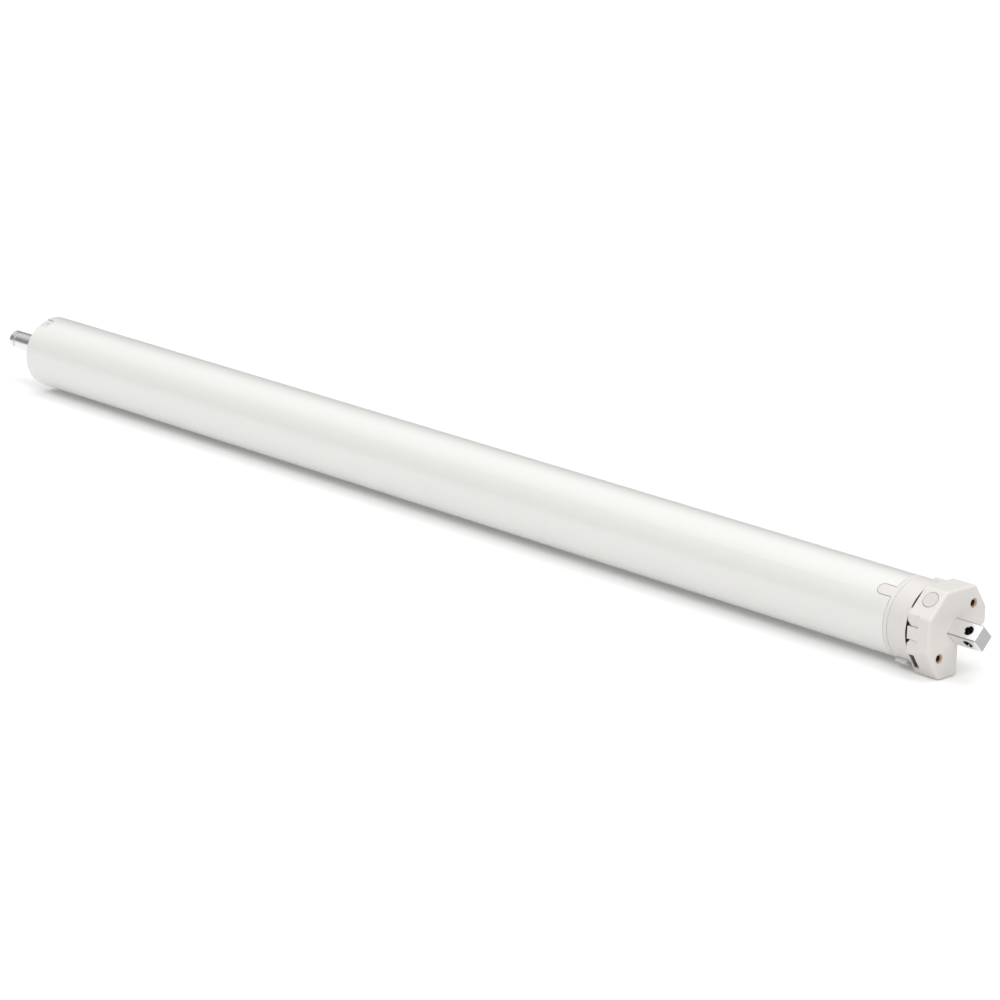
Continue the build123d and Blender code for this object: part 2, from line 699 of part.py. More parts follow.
def radio_module():
    can_box = on_board(RADIO_FROM_START, 0, RADIO_LENGTH, RADIO_WIDTH, RADIO_HEIGHT)
    return fillet(can_box.edges().filter_by(Axis.Z), RADIO_CORNER_R)


def motor_driver_chips():
    places = [(CHIP_FROM_START + k * CHIP_PITCH, side * CHIP_SPREAD / 2)
              for k in range(CHIP_PAIRS) for side in (-1, 1)]
    return [on_board(start, y, CHIP_LENGTH, CHIP_WIDTH, CHIP_HEIGHT) for start, y in places]


def power_capacitors():
    top = BOARD_Z + BOARD_T / 2
    pitch = 2 * CAPACITOR_R + CAPACITOR_GAP
    row = []
    for k in range(CAPACITORS):
        y = (k - (CAPACITORS - 1) / 2) * pitch
        lying = Pos(BOARD_START - CAPACITOR_FROM_START, y, top + CAPACITOR_R)
        row.append(lying * Rot(Y=90) * Cylinder(CAPACITOR_R, CAPACITOR_LENGTH))
    return row


def charge_inductor():
    coil = on_board(INDUCTOR_FROM_START, 0, INDUCTOR_SIDE, INDUCTOR_SIDE, INDUCTOR_HEIGHT)
    return fillet(coil.edges().filter_by(Axis.Z), INDUCTOR_CORNER_R)


def harness_connectors():
    """One plug for the head's leads and one for the motor's wires."""
    front = on_board(PLUG_INSET, 0, PLUG_LENGTH, 5 * PLUG_PITCH, PLUG_HEIGHT)
    far = BOARD_LENGTH - PLUG_INSET - PLUG_LENGTH
    back = on_board(far, 0, PLUG_LENGTH, (WIRES + 1) * WIRE_PITCH, PLUG_HEIGHT)
    return [front, back]


def cell_places():
    return [side * CELL_PITCH_Y / 2 for side in (-1, 1)]


def row_start(k):
    """The end of row k that is nearer to the head."""
    return PACK_START - SPACER_WEB - k * ROW_PITCH


def battery_cells():
    cells = []
    for k in range(CELL_ROWS):
        for y in cell_places():
            x1 = row_start(k)
            cell = Pos(0, y, 0) * rod(x1 - CELL_LENGTH, x1, CELL_R)
            cells.append(fillet(cell.edges().filter_by(GeomType.CIRCLE), CELL_EDGE))
    return cells


def cell_spacers():
    spacers = []
    for k in range(CELL_ROWS + 1):
        web_front = PACK_START - k * ROW_PITCH
        web_back = web_front - SPACER_WEB
        front = web_front + (SPACER_LIP if k > 0 else 0)
        back = web_back - (SPACER_LIP if k < CELL_ROWS else 0)
        disc = rod(back, front, FIT_R)
        for y in cell_places():
            if k > 0:
                disc -= Pos(0, y, 0) * rod(web_front, front, CELL_R + POCKET_GAP)
            if k < CELL_ROWS:
                disc -= Pos(0, y, 0) * rod(back, web_back, CELL_R + POCKET_GAP)
            half = LINK_SIZE / 2
            disc -= Pos(0, y, 0) * block(web_back, web_front, -half, half, -half, half)
        for y in wire_places():
            disc -= Pos(0, y, WIRE_Z) * rod(back, front, WIRE_R + WIRE_HOLE_GAP)
        spacers.append(disc)
    return spacers


def cell_links():
    links = []
    half = LINK_SIZE / 2 - SLIP
    for k in range(CELL_ROWS + 1):
        x1 = PACK_START - k * ROW_PITCH
        for y in cell_places():
            links.append(Pos(0, y, 0) * block(x1 - SPACER_WEB, x1, -half, half, -half, half))
    return links


def wire_places():
    return [(k - (WIRES - 1) / 2) * WIRE_PITCH for k in range(WIRES)]


def wire_harness():
    """The motor's wires leave the plug, rise, and pass straight through the spacers."""
    plug_z = BOARD_Z + BOARD_T / 2 + PLUG_HEIGHT / 2
    x0 = BOARD_END + PLUG_INSET
    wires = []
    for y in wire_places():
        points = [(x0, y, plug_z), (BOARD_END - WIRE_RISE / 4, y, plug_z),
                  (BOARD_END - WIRE_RISE, y, WIRE_Z), (HALL_FACE, y, WIRE_Z)]
        wires.append(wire(points, WIRE_R))
    return wires


def motor_can():
    front = CAN_BACK + CAN_FRONT
    can = ring(front, CAN_END, CAN_R, CAN_R - CAN_WALL) + rod(CAN_BACK, front, CAN_R)
    can -= rod(CAN_BACK, front, SHAFT_R + 1)
    can += ring(front, front + BEARING_WIDTH, BEARING_R + 2, BEARING_R + SLIP)
    angles = even_angles(MOTOR_SCREWS, 45)
    for hole in offset_rods(CAN_BACK, front, MOTOR_SCREW_PITCH_R, angles, MOTOR_SCREW_R):
        can -= hole
    return can


def motor_end_bell():
    r = CAN_R - CAN_WALL - SLIP
    bell = rod(CAN_END - BELL_T, CAN_END, r)
    bell -= rod(CAN_END - BELL_T, CAN_END - BELL_T + BEARING_WIDTH, BEARING_R + SLIP)
    bell -= rod(CAN_END - BELL_T, CAN_END, SHAFT_R + 1)
    for y in wire_places():
        bell -= Pos(0, y, WIRE_Z) * rod(CAN_END - BELL_T, CAN_END, WIRE_R + WIRE_HOLE_GAP)
    return bell


def motor_bearings():
    starts = (CAN_BACK + CAN_FRONT, CAN_END - BELL_T)
    return [ring(x, x + BEARING_WIDTH, BEARING_R, SHAFT_R + RUNNING) for x in starts]


def stator_core():
    outer = CAN_R - CAN_WALL - SLIP
    inner = outer - YOKE_T
    outline = Circle(outer) - Circle(inner)
    for angle in even_angles(TEETH):
        stem = Pos((BORE_R + inner) / 2 + 0.5, 0) * Rectangle(inner - BORE_R + 1, TOOTH_WIDTH)
        shoe = Pos(BORE_R, 0) * Rectangle(2 * SHOE_T, SHOE_WIDTH)
        outline += Rot(Z=angle) * (stem + shoe)
    outline -= Circle(BORE_R)
    return prism(STACK_FROM, STACK_TO, outline)


def stator_windings():
    """One coil around each tooth, in the room between its shoe and the yoke."""
    hole = TOOTH_WIDTH / 2 + SLIP
    wide = hole + COIL_T
    r0 = BORE_R + SHOE_T + SLIP
    r1 = sqrt((CAN_R - CAN_WALL - SLIP - YOKE_T) ** 2 - wide ** 2) - SLIP
    x0 = STACK_FROM - SIDE_GAP
    x1 = STACK_TO + SIDE_GAP
    coils = []
    for angle in even_angles(TEETH):
        whole = block(x0 - COIL_T, x1 + COIL_T, -wide, wide, r0, r1)
        coils.append(turned(whole - block(x0, x1, -hole, hole, r0, r1), angle))
    return coils


def hall_sensor_board():
    return ring(HALL_FACE - HALL_T, HALL_FACE, CAN_R - CAN_WALL - SLIP, SHAFT_R + 2)


def rubber_mounts():
    starts = [CAN_BACK + inset for inset in MOUNT_INSETS]
    return [ring(x, x + MOUNT_WIDTH, FIT_R, CAN_R + SLIP) for x in starts]


def motor_plate():
    plate = ring(PLATE_FACE, CAN_BACK, FIT_R, SHAFT_R + 1)
    angles = even_angles(MOTOR_SCREWS, 45)
    for hole in offset_rods(PLATE_FACE, CAN_BACK, MOTOR_SCREW_PITCH_R, angles, MOTOR_SCREW_R + SLIP):
        plate -= hole
    top = PLATE_FACE + MOTOR_SCREW_HEAD
    for sink in offset_rods(PLATE_FACE, top, MOTOR_SCREW_PITCH_R, angles, MOTOR_SCREW_HEAD_R + SLIP):
        plate -= sink
    angles = even_angles(RING_SCREWS)
    for hole in offset_rods(PLATE_FACE, CAN_BACK, RING_SCREW_PITCH_R, angles, RING_SCREW_R + SLIP):
        plate -= hole
    seat = CAN_BACK - RING_SCREW_HEAD
    for sink in offset_rods(seat, CAN_BACK, RING_SCREW_PITCH_R, angles, RING_SCREW_HEAD_R + SLIP):
        plate -= sink
    return plate


def motor_screws():
    angles = even_angles(MOTOR_SCREWS, 45)
    top = PLATE_FACE + MOTOR_SCREW_HEAD
    heads = offset_rods(PLATE_FACE + SLIP, top, MOTOR_SCREW_PITCH_R, angles, MOTOR_SCREW_HEAD_R)
    shanks = offset_rods(top, CAN_BACK + CAN_FRONT, MOTOR_SCREW_PITCH_R, angles, MOTOR_SCREW_R)
    return [head + shank for head, shank in zip(heads, shanks)]


def gearbox_screws():
    angles = even_angles(RING_SCREWS)
    seat = CAN_BACK - RING_SCREW_HEAD
    heads = offset_rods(seat, CAN_BACK - SLIP, RING_SCREW_PITCH_R, angles, RING_SCREW_HEAD_R)
    shanks = offset_rods(PLATE_FACE - RING_SCREW_GRIP, seat, RING_SCREW_PITCH_R, angles, RING_SCREW_R)
    return [head + shank for head, shank in zip(heads, shanks)]


def involute(angle):
    return tan(angle) - angle


def tooth_flank(teeth, r, thinning):
    """Half the angle that a tooth spans at radius r; a negative thinning makes it thicker."""
    pitch_r = MODULE * teeth / 2
    base_r = pitch_r * cos(radians(PRESSURE))
    at_r = acos(min(1.0, base_r / r))
    return pi / (2 * teeth) - thinning / pitch_r + involute(radians(PRESSURE)) - involute(at_r)


def gear_outline(teeth, root_r, tip_r, thinning, first_angle):
    """A gear's outline with a tooth at first_angle, in degrees."""
    pitch_r = MODULE * teeth / 2
    points = []
    for k in range(teeth):
        middle = radians(first_angle) + 2 * pi * k / teeth
        flank = [(r, tooth_flank(teeth, r, thinning)) for r in (root_r, pitch_r, tip_r)]
        for r, half in flank:
            points.append((r * cos(middle - half), r * sin(middle - half)))
        for r, half in reversed(flank):
            points.append((r * cos(middle + half), r * sin(middle + half)))
    return Polygon(*points, align=None)


def outer_gear(x0, x1, teeth, first_angle):
    pitch_r = MODULE * teeth / 2
    root = pitch_r - DEDENDUM * MODULE
    tip = pitch_r + ADDENDUM * MODULE
    return prism(x0, x1, gear_outline(teeth, root, tip, THINNING, first_angle))


def ring_gear():
    pitch_r = MODULE * RING_TEETH / 2
    tip = pitch_r - ADDENDUM * MODULE
    root = pitch_r + DEDENDUM * MODULE
    spaces = gear_outline(RING_TEETH, tip, root, -THINNING, 180.0 / RING_TEETH)
    body = prism(CAP_IN, PLATE_FACE, Circle(FIT_R) - spaces)
    foot = PLATE_FACE - RING_SCREW_GRIP
    for hole in offset_rods(foot, PLATE_FACE, RING_SCREW_PITCH_R, even_angles(RING_SCREWS), RING_SCREW_R):
        body -= hole
    return body


def stage_places():
    """For each stage, the planets' two ends: stage 1 is beside the motor."""
    stage_1 = (STAGE_1_END - PLANET_WIDTHS[0], STAGE_1_END)
    stage_2 = (STAGE_2_END - PLANET_WIDTHS[1], STAGE_2_END)
    return stage_1, stage_2


def planet(stage, k):
    """A planet has a tooth space towards the sun and another towards the ring."""
    x0, x1 = stage_places()[stage - 1]
    angle = even_angles(PLANETS)[k]
    gear = outer_gear(x0, x1, PLANET_TEETH, 180.0 / PLANET_TEETH)
    gear -= rod(x0, x1, PLANET_PIN_R + RUNNING)
    return Rot(X=angle) * Pos(0, CENTRE_R, 0) * gear


def stage_pins(stage):
    x0, x1 = stage_places()[stage - 1]
    back = x0 - SIDE_GAP - CARRIER_T
    return offset_rods(back, x1, CENTRE_R, even_angles(PLANETS), PLANET_PIN_R)


def carrier_plate(stage):
    x0 = stage_places()[stage - 1][0] - SIDE_GAP
    plate = rod(x0 - CARRIER_T, x0, CARRIER_R)
    for hole in offset_rods(x0 - CARRIER_T, x0, CENTRE_R, even_angles(PLANETS), PLANET_PIN_R):
        plate -= hole
    return plate


def stage_1_carrier():
    hub = MODULE * (SUN_TEETH / 2 - DEDENDUM)
    return carrier_plate(1) - rod(CARRIER_1_BACK, CARRIER_1_FRONT, hub - 1)


def stage_2_sun():
    """The second sun is pressed into the first carrier by its plain spigot."""
    hub = MODULE * (SUN_TEETH / 2 - DEDENDUM)
    x0 = stage_places()[1][0] + SEAT_GAP
    gear = outer_gear(x0, CARRIER_1_BACK, SUN_TEETH, 0.0)
    return gear + rod(CARRIER_1_BACK, CARRIER_1_FRONT, hub - 1)


def stage_2_carrier():
    plate = carrier_plate(2)
    return plate - rod(CAP_IN, CAP_IN + 2 * CARRIER_T, SHAFT_OD / 2 - 1)


def stage_1_sun():
    x0 = stage_places()[0][0] + SEAT_GAP
    gear = outer_gear(x0, PLATE_FACE, SUN_TEETH, 0.0)
    return gear - rod(x0, PLATE_FACE, SUN_BORE_R)


def motor_shaft():
    shaft = rod(PLATE_FACE, CAN_END - 1, SHAFT_R)
    return shaft + rod(stage_places()[0][0] + SEAT_GAP, PLATE_FACE, SUN_BORE_R)


def rotor_core():
    return ring(STACK_FROM, STACK_TO, MAGNET_R - MAGNET_T, SHAFT_R)


def rotor_magnets():
    magnets = []
    span = 360.0 / MAGNETS - MAGNET_GAP_DEG
    for angle in even_angles(MAGNETS):
        shell = Circle(MAGNET_R) - Circle(MAGNET_R - MAGNET_T)
        reach = 2 * MAGNET_R
        half = radians(span / 2)
        across_x, across_y = reach * cos(half), reach * sin(half)
        wedge = Polygon((0, 0), (across_x, -across_y), (across_x, across_y), align=None)
        magnets.append(prism(STACK_FROM, STACK_TO, Rot(Z=angle) * (shell & wedge)))
    return magnets


def output_shaft():
    r = SHAFT_OD / 2
    step = TUBE_END - JOURNAL_OUT
    shaft = rod(SHAFT_TIP_X, step, r)
    tip = shaft.faces().sort_by(Axis.X)[0]
    shaft = chamfer(tip.edges(), SHAFT_TIP)
    shaft += rod(step, CAP_IN + SIDE_GAP, JOURNAL_OD / 2)
    shaft += rod(CAP_IN + SIDE_GAP, CAP_IN + SIDE_GAP + CARRIER_T, r - 1)
    groove = SHAFT_TIP_X + GROOVE_FROM_TIP
    shaft -= ring(groove, groove + GROOVE_WIDTH, r + 1, r - GROOVE_DEPTH)
    flat = block(SHAFT_TIP_X, SHAFT_TIP_X + SHAFT_FLAT_LENGTH, -r, r, r - SHAFT_FLAT, r + 1)
    return shaft - turned(flat, SHAFT_FLAT_ANGLE)


def output_bushes():
    r = JOURNAL_OD / 2 + RUNNING
    outer = TUBE_END + SEAL_T
    inner = CAP_IN - CAP_INNER_BUSH
    return [ring(outer, outer + BUSH_LENGTH, BUSH_R, r), ring(inner, CAP_IN, BUSH_R, r)]


def shaft_seal():
    return ring(TUBE_END, TUBE_END + SEAL_T, BUSH_R, JOURNAL_OD / 2 + SLIP)


def output_cap():
    cap = rod(TUBE_END, CAP_IN, FIT_R)
    cap -= rod(TUBE_END, CAP_IN, JOURNAL_OD / 2 + SEAT_GAP)
    cap -= rod(TUBE_END, TUBE_END + SEAL_T + BUSH_LENGTH, BUSH_R)
    cap -= rod(CAP_IN - CAP_INNER_BUSH, CAP_IN, BUSH_R)
    reach = TUBE_END + CAP_NOTCH_LENGTH - LUG_GAP
    top = TUBE_R - CAP_LUG_SUNK
    cap += tongue(TUBE_END, reach, CAP_LUG_WIDTH, FIT_R - 1, top, CAP_NOTCH_ANGLE)
    dimple_x = reach - CAP_LUG_WIDTH / 2
    return cap - spoke(dimple_x, CAP_NOTCH_ANGLE, top - CAP_DIMPLE_DEPTH, TUBE_R, CAP_DIMPLE_R)


SUBPARTS = {
    "housing_tube": housing_tube,
    "collar": collar,
    "spigot_screws": spigot_screws,
    "crown": crown,
    "head_body": head_body,
    "head_leads": head_leads,
    "square_pin": square_pin,
    "pin_retainer_plate": pin_retainer_plate,
    "retainer_screws": retainer_screws,
    "face_inserts": face_inserts,
    "push_button": push_button,
    "switch_plunger": switch_plunger,
    "tact_switch": tact_switch,
    "charge_port": charge_port,
    "board_tray": board_tray,
    "control_board": control_board,
    "board_screws": board_screws,
    "radio_module": radio_module,
    "motor_driver_chips": motor_driver_chips,
    "power_capacitors": power_capacitors,
    "charge_inductor": charge_inductor,
    "harness_connectors": harness_connectors,
    "battery_cells": battery_cells,
    "cell_spacers": cell_spacers,
    "cell_links": cell_links,
    "wire_harness": wire_harness,
    "motor_can": motor_can,
    "motor_end_bell": motor_end_bell,
    "motor_bearings": motor_bearings,
    "stator_core": stator_core,
    "stator_windings": stator_windings,
    "hall_sensor_board": hall_sensor_board,
    "rubber_mounts": rubber_mounts,
    "motor_plate": motor_plate,
    "motor_screws": motor_screws,
    "gearbox_screws": gearbox_screws,
    "ring_gear": ring_gear,
    "stage_1_carrier": stage_1_carrier,
    "stage_2_sun": stage_2_sun,
    "stage_2_carrier": stage_2_carrier,
    "stage_1_sun": stage_1_sun,
    "motor_shaft": motor_shaft,
    "rotor_core": rotor_core,
    "rotor_magnets": rotor_magnets,
    "output_shaft": output_shaft,
    "output_bushes": output_bushes,
    "shaft_seal": shaft_seal,
    "output_cap": output_cap,
}


def save(name, made):
    solids = made if isinstance(made, list) else [made]
    export_step(Compound(children=[Part() + s for s in solids]) if len(solids) > 1 else solids[0],
                f"parts/{name}.step")


os.makedirs("parts", exist_ok=True)
for node, maker in SUBPARTS.items():
    save(node, maker())
for stage in (1, 2):
    save(f"stage_{stage}_pins", stage_pins(stage))
    for k, letter in enumerate("abc"):
        save(f"stage_{stage}_planet_{letter}", planet(stage, k))
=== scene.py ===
"""Roller shade motor: finishes and fine details on the solid model, seen from the side with the button."""

from math import cos, radians, sin, tau

import bmesh
import bpy
from mathutils import Matrix, Vector


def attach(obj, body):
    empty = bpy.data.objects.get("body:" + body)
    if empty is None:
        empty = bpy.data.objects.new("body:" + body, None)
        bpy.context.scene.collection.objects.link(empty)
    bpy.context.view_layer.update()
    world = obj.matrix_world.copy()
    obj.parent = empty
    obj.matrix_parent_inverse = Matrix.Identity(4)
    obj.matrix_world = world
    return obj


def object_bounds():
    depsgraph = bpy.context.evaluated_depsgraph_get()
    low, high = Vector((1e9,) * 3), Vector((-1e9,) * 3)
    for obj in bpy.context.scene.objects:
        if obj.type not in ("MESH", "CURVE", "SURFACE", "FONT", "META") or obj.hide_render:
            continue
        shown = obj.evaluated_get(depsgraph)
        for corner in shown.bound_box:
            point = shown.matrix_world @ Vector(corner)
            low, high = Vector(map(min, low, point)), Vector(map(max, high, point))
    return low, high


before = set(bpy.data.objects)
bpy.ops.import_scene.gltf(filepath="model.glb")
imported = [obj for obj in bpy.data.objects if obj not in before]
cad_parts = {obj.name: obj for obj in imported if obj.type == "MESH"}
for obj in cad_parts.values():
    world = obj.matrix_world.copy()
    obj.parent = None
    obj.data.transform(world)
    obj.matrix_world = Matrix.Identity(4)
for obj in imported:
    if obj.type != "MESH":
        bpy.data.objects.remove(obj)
cad_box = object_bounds()

# Where the photograph was taken from, in metres, with the origin in the head's face
CAMERA_PLACE = Vector((1.3307, -1.6216, 0.6500))
CAMERA_RIGHT = Vector((0.68950, 0.72370, 0.02906))
CAMERA_UP = Vector((-0.21561, 0.16678, 0.96213))
CAMERA_LENS = 151.2
SENSOR_WIDTH = 36.0

FLOOR_Z = cad_box[0][2]
FLOOR_SIZE = 24.0
FLOOR_GLOW = 0.16

# The brass inserts and the thread in each
INSERT_PITCH_R = 0.018
INSERT_ANGLES = (45.0, 225.0)
INSERT_BORE_R = 0.0020
INSERT_FACE_X = -0.0005
THREAD_PITCH = 0.0007
THREAD_DEPTH = 0.00035
THREAD_TURNS = 10
THREAD_SEGMENTS = 32
# Where the painted shade in each insert's bore starts, a little below the face
INSERT_SHADE_X = -0.0008

# The crown's ends and its shaded places: behind the head's slots, and between two radii beside the keys
CROWN_ENDS = (-0.0285, -0.0158)
CROWN_R = 0.0225
CROWN_SHADE_Y = -0.010
CROWN_SHADE_R = 0.0196
KEY_GROOVE_DEPTH = 0.0014
KEY_GROOVE_SHADE_R = (CROWN_R - 1.2 * KEY_GROOVE_DEPTH, CROWN_R - KEY_GROOVE_DEPTH / 4)
KEY_GROOVE_SHADE = 0.8

# How far below a side's surface its shade starts and ends, and how dark it is
SHADE_DEPTH = 0.0008
RECESS_REACH = 0.006
RECESS_SHADE = 0.85

# The head's recesses: the side's angle and distance, the offset along it, the two ends on X, and the width
PORT_WINDOW = (213.0, 0.0235, -0.0045, (-0.0150, -0.0112), 0.0104)
REAR_SLOT = (135.0, 0.0220, 0.0030, (-0.0155, -0.0149), 0.0144)
TONGUE_NOTCHES = (180.0, 0.0217, 0.0, (-0.0155, -0.0128), 0.0122)

# The square pin
PIN_TIP_X = 0.0180
PIN_SIDE = 0.0104
PIN_EDGE = 0.0006
CROSS_HOLE_X = 0.0113
CROSS_HOLE_R = 0.0028
CROSS_HOLE_MOUTH = 0.0009
PIN_SHADE = 0.55

# How far a shaded place reaches past its own edge
SKIN = 0.00005

WHITE = (1.0, 1.0, 1.0, 1.0)
IVORY = (0.81, 0.775, 0.74)
IVORY_ROUGHNESS = 0.42

# The studio: how bright the room is at each height, and the broad suns. For each sun, the way to it,
# how wide it is in degrees, and its strength
SKY = ((0.02, 0.08), (0.5, 0.22), (0.72, 0.78), (1.0, 0.9))
SKY_STRENGTH = 1.4
SUNS = {
    "overhead": ((0.1, 0.1, 1.0), 25.0, 0.35),
    "front_top": ((0.1, -0.8, 1.0), 35.0, 0.4),
    "head_fill": ((1.0, -0.6, 0.6), 50.0, 0.5),
}


class Value:
    """A number on a socket. Its operators add the Math nodes that work them out."""

    def __init__(self, finish, socket):
        self.finish = finish
        self.socket = socket

    def math(self, operation, *values):
        node = self.finish.add("ShaderNodeMath", {"operation": operation}, dict(enumerate(values)))
        return Value(self.finish, node.outputs[0])

    def __add__(self, other):
        return self.math("ADD", self, other)

    __radd__ = __add__

    def __sub__(self, other):
        return self.math("SUBTRACT", self, other)

    def __rsub__(self, other):
        return self.math("SUBTRACT", other, self)

    def __mul__(self, other):
        return self.math("MULTIPLY", self, other)

    __rmul__ = __mul__

    def __lt__(self, other):
        return self.math("LESS_THAN", self, other)

    def __gt__(self, other):
        return self.math("GREATER_THAN", self, other)


class Finish:
    """A material that is being made: its nodes, its shader and the place on the piece."""

    def __init__(self, name, colour, roughness, metallic=0.0, coat=0.0):
        self.material = bpy.data.materials.new(name)
        self.material.use_nodes = True
        self.tree = self.material.node_tree
        self.shader = self.tree.nodes["Principled BSDF"]
        self.colour = (*colour, 1.0)
        self.roughness = roughness
        self.shader.inputs["Base Color"].default_value = self.colour
        self.shader.inputs["Roughness"].default_value = roughness
        self.shader.inputs["Metallic"].default_value = metallic
        self.shader.inputs["Coat Weight"].default_value = coat
        self.place = self.add("ShaderNodeTexCoord").outputs["Object"]

    def add(self, kind, settings=None, inputs=None):
        """A node of that kind. Its settings come first, then what goes into its sockets."""
        node = self.tree.nodes.new(kind)
        for name, value in (settings or {}).items():
            if name == "stops":
                self.set_stops(node.color_ramp, value)
            else:
                setattr(node, name, value)
        for name, value in (inputs or {}).items():
            self.put(node.inputs[name], value)
        return node

    def put(self, socket, value):
        if isinstance(value, Value):
            value = value.socket
        if isinstance(value, bpy.types.NodeSocket):
            self.tree.links.new(value, socket)
        else:
            socket.default_value = value

    def set_stops(self, ramp, stops):
        while len(ramp.elements) < len(stops):
            ramp.elements.new(0.5)
        for element, (position, colour) in zip(ramp.elements, stops):
            element.position = position
            element.color = colour

    def along(self):
        """How far each spot lies along the axis, across it and up, in metres."""
        split = self.add("ShaderNodeSeparateXYZ", {}, {0: self.place})
        return [Value(self, socket) for socket in split.outputs]

    def noise(self, size, detail=2.0, stretch=(1.0, 1.0, 1.0), rough=0.5):
        """Noise whose grains are about size metres across, longer where stretch is above 1."""
        scale = tuple(1.0 / s for s in stretch)
        placed = self.add("ShaderNodeMapping", {}, {"Vector": self.place, "Scale": scale})
        node = self.add("ShaderNodeTexNoise", {}, {
            "Vector": placed.outputs["Vector"], "Scale": 1.0 / size, "Detail": detail, "Roughness": rough})
        return Value(self, node.outputs[0])

    def bump(self, height, distance, strength=1.0):
        node = self.add("ShaderNodeBump", {}, {"Height": height, "Distance": distance, "Strength": strength})
        self.put(self.shader.inputs["Normal"], node.outputs["Normal"])

    def vary_roughness(self, grain, amount):
        self.put(self.shader.inputs["Roughness"], (grain - 0.5) * amount + self.roughness)

    def vary_colour(self, grain, other):
        """The colour goes towards another one where the grain is high."""
        mix = self.add("ShaderNodeMix", {"data_type": "RGBA"}, {0: grain, 6: self.colour, 7: (*other, 1.0)})
        self.put(self.shader.inputs["Base Color"], mix.outputs[2])

    def dress(self, *nodes):
        for node in nodes:
            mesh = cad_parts[node].data
            mesh.materials.clear()
            mesh.materials.append(self.material)


def powder_white():
    """Satin powder coat, with the soft unevenness of a sprayed skin."""
    finish = Finish("powder_white", (0.86, 0.855, 0.83), 0.38, coat=1.0)
    finish.shader.inputs["Coat Roughness"].default_value = 0.25
    skin = finish.noise(0.0009, detail=3.0)
    finish.bump(skin, 0.00002)
    finish.vary_roughness(finish.noise(0.006), 0.08)
    return finish


def moulded_white(name, colour, roughness):
    """Fine spark texture of a moulded part."""
    finish = Finish(name, colour, roughness)
    finish.bump(finish.noise(0.0004, detail=2.0), 0.00003)
    finish.vary_roughness(finish.noise(0.003), 0.1)
    return finish


def plated(name, colour, roughness):
    finish = Finish(name, colour, roughness, metallic=1.0)
    haze = finish.noise(0.004, detail=4.0)
    finish.vary_roughness(haze, 0.05)
    finish.bump(finish.noise(0.0012), 0.000004)
    return finish


def in_recess(finish, angle, flat, offset, ends, width):
    """1 in a recess of one of the head's sides, from a little below that side's surface, where shade is
    painted.
    """
    x, y, z = finish.along()
    turn = radians(angle)
    out = y * cos(turn) + z * sin(turn)
    side = y * sin(turn) - z * cos(turn) - offset
    across = (side * side < (width / 2 + SKIN) ** 2) * (x > ends[0] - SKIN) * (x < ends[1] + SKIN)
    return across * (out < flat - SHADE_DEPTH) * (out > flat - RECESS_REACH)


def head_ivory():
    """The head's moulded finish, with painted shade inside its recesses."""
    finish = moulded_white("head_ivory", IVORY, IVORY_ROUGHNESS)
    dark = sum(in_recess(finish, *recess) for recess in (PORT_WINDOW, REAR_SLOT, TONGUE_NOTCHES))
    # Painted shade: dark brown inside the port window, the rear slot and the tongue notches.
    finish.vary_colour(dark * RECESS_SHADE, (0.10, 0.07, 0.045))
    return finish


def crown_ivory():
    """The crown's moulded finish, with painted shade behind the head's slots and in the grooves beside its
    keys.
    """
    finish = moulded_white("crown_ivory", (0.79, 0.76, 0.735), 0.32)
    x, y, z = finish.along()
    out = y * y + z * z
    back, front = CROWN_ENDS
    groove = (out < KEY_GROOVE_SHADE_R[1] ** 2) * (out > KEY_GROOVE_SHADE_R[0] ** 2)
    groove = groove * (x > back + SKIN) * (x < front - SKIN) * KEY_GROOVE_SHADE
    behind = (x > front - SKIN) * (y < CROWN_SHADE_Y) * (out > CROWN_SHADE_R ** 2)
    # Painted shade: near black on the crown's front face behind the head's slots and in the key grooves; it
    # turns with the crown.
    finish.vary_colour(behind + groove, (0.05, 0.04, 0.03))
    return finish


def pin_chrome():
    """Bright plating, with painted shade deep in the cross holes and painted dark reflections on the rounded
    edges and on the pin's end.
    """
    finish = plated("pin_chrome", (0.92, 0.92, 0.93), 0.2)
    x, y, z = finish.along()
    first = (y + z) * 0.5 ** 0.5
    second = (y - z) * 0.5 ** 0.5
    near = (x - CROSS_HOLE_X) * (x - CROSS_HOLE_X)
    bottom = (PIN_SIDE / 2 - CROSS_HOLE_MOUTH) ** 2
    shade = 0.0
    # Painted shade deep in each cross hole.
    for way, side in ((first, second), (second, first)):
        inside = near + side * side < (CROSS_HOLE_R + SKIN) ** 2
        shade = inside * (way * way < bottom) + shade
    # Painted dark reflection along the pin's rounded edges.
    edge = (PIN_SIDE / 2 - PIN_EDGE) ** 2
    shade = (first * first > edge) * (second * second > edge) * PIN_SHADE + shade
    # Painted dark reflection on the pin's end face.
    shade = (x > PIN_TIP_X) * PIN_SHADE + shade
    finish.vary_colour(shade, (0.02, 0.02, 0.02))
    return finish


def turned_steel(name, colour, roughness):
    """Steel with fine lathe marks that run round the motor's axis."""
    finish = Finish(name, colour, roughness, metallic=1.0)
    marks = finish.noise(0.00012, detail=3.0, stretch=(1.0, 60.0, 60.0))
    finish.bump(marks, 0.000008)
    finish.vary_roughness(finish.noise(0.003), 0.08)
    return finish


def insert_brass():
    """Pale turned brass with painted shade down the bore."""
    finish = turned_steel("insert_brass", (0.50, 0.37, 0.24), 0.4)
    x = finish.along()[0]
    # Painted shade: near black down the bore and on its thread, deeper than a little below the face.
    finish.vary_colour(x < INSERT_SHADE_X, (0.03, 0.02, 0.012))
    return finish


def moulded(name, colour, roughness=0.5, metallic=0.0):
    finish = Finish(name, colour, roughness, metallic=metallic)
    finish.bump(finish.noise(0.0005), 0.00002)
    finish.vary_roughness(finish.noise(0.002), 0.1)
    return finish


